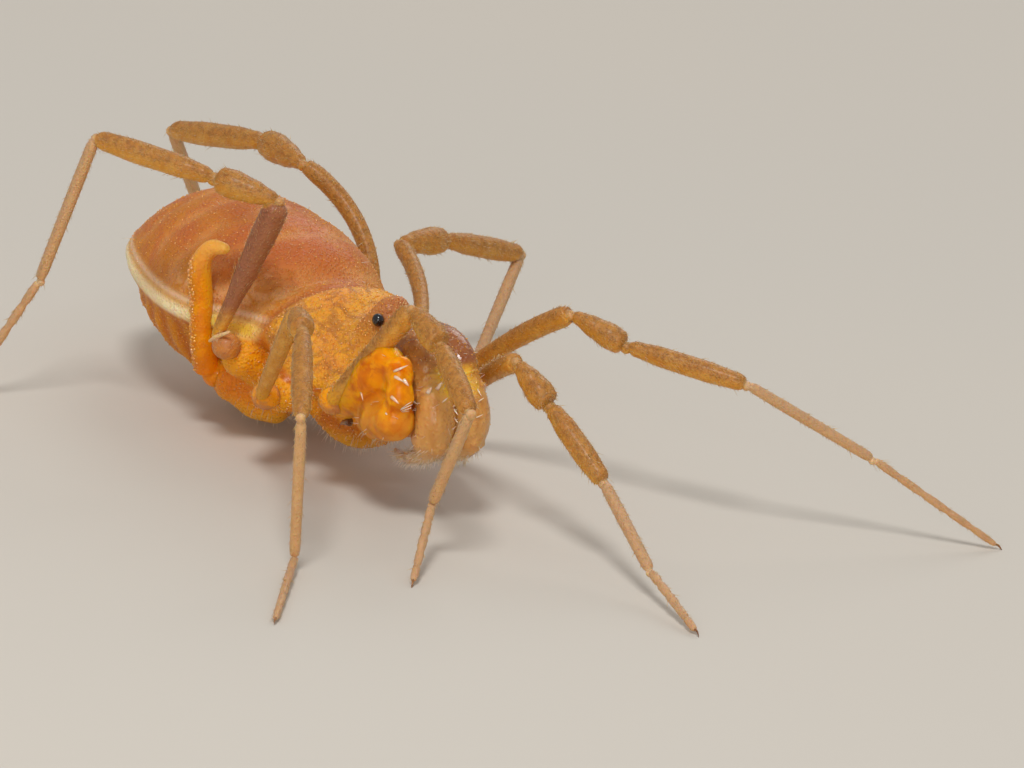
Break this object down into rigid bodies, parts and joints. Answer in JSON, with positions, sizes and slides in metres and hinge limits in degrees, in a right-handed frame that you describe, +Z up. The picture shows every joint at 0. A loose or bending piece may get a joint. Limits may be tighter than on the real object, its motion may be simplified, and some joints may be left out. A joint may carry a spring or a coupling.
{
  "type": "armoured harvestman",
  "caption": "Small orange armoured harvestman, life size, standing still with bent legs, folded spined pedipalps and a short curved hind leg raised beside its domed back.",
  "frame": {"origin": "on the floor, under the middle of the whole animal's box", "axes": "+X towards the head, +Y to the animal's left, +Z up"},
  "size_m": [0.014, 0.0096, 0.0035],
  "materials": {
    "carapace": "fine-grained orange-brown cuticle with brown mottling",
    "abdomen": "satin pinkish-orange cuticle with faint cross bands and a cream rim",
    "eye": "glossy black bead",
    "chelicera": "glossy translucent amber-brown cuticle",
    "pedipalp": "glossy translucent amber cuticle",
    "leg": "golden-brown cuticle with a fine dense down"
  },
  "bodies": {
    "root": {"prosoma": "carapace", "abdomen": "abdomen", "leg_l1_coxa": "leg", "leg_l1_femur": "leg", "leg_l1_patella": "leg", "leg_l1_tibia": "leg", "leg_l1_metatarsus": "leg", "leg_l1_tarsus": "leg", "leg_l2_coxa": "leg", "leg_l2_femur": "leg", "leg_l2_patella": "leg", "leg_l2_tibia": "leg", "leg_l2_metatarsus": "leg", "leg_l2_tarsus": "leg", "leg_l3_coxa": "leg", "leg_l3_femur": "leg", "leg_l3_patella": "leg", "leg_l3_tibia": "leg", "leg_l3_metatarsus": "leg", "leg_l3_tarsus": "leg", "leg_l4_coxa": "leg", "leg_l4_femur": "leg", "leg_l4_patella": "leg", "leg_l4_tibia": "leg", "leg_l4_metatarsus": "leg", "leg_l4_tarsus": "leg", "leg_r1_coxa": "leg", "leg_r1_femur": "leg", "leg_r1_patella": "leg", "leg_r1_tibia": "leg", "leg_r1_metatarsus": "leg", "leg_r1_tarsus": "leg", "leg_r2_coxa": "leg", "leg_r2_femur": "leg", "leg_r2_patella": "leg", "leg_r2_tibia": "leg", "leg_r2_metatarsus": "leg", "leg_r2_tarsus": "leg", "leg_r3_coxa": "leg", "leg_r3_femur": "leg", "leg_r3_patella": "leg", "leg_r3_tibia": "leg", "leg_r3_metatarsus": "leg", "leg_r3_tarsus": "leg", "leg_r4_coxa": "leg", "leg_r4_femur": "leg", "eye_l": "eye", "eye_r": "eye", "chelicera_l_base": "chelicera", "chelicera_l_hand": "chelicera", "pedipalp_l_femur": "pedipalp", "pedipalp_l_patella": "pedipalp", "pedipalp_l_tibia": "pedipalp", "chelicera_r_base": "chelicera", "chelicera_r_hand": "chelicera", "pedipalp_r_femur": "pedipalp", "pedipalp_r_patella": "pedipalp", "pedipalp_r_tibia": "pedipalp"}
  },
  "joints": []
}
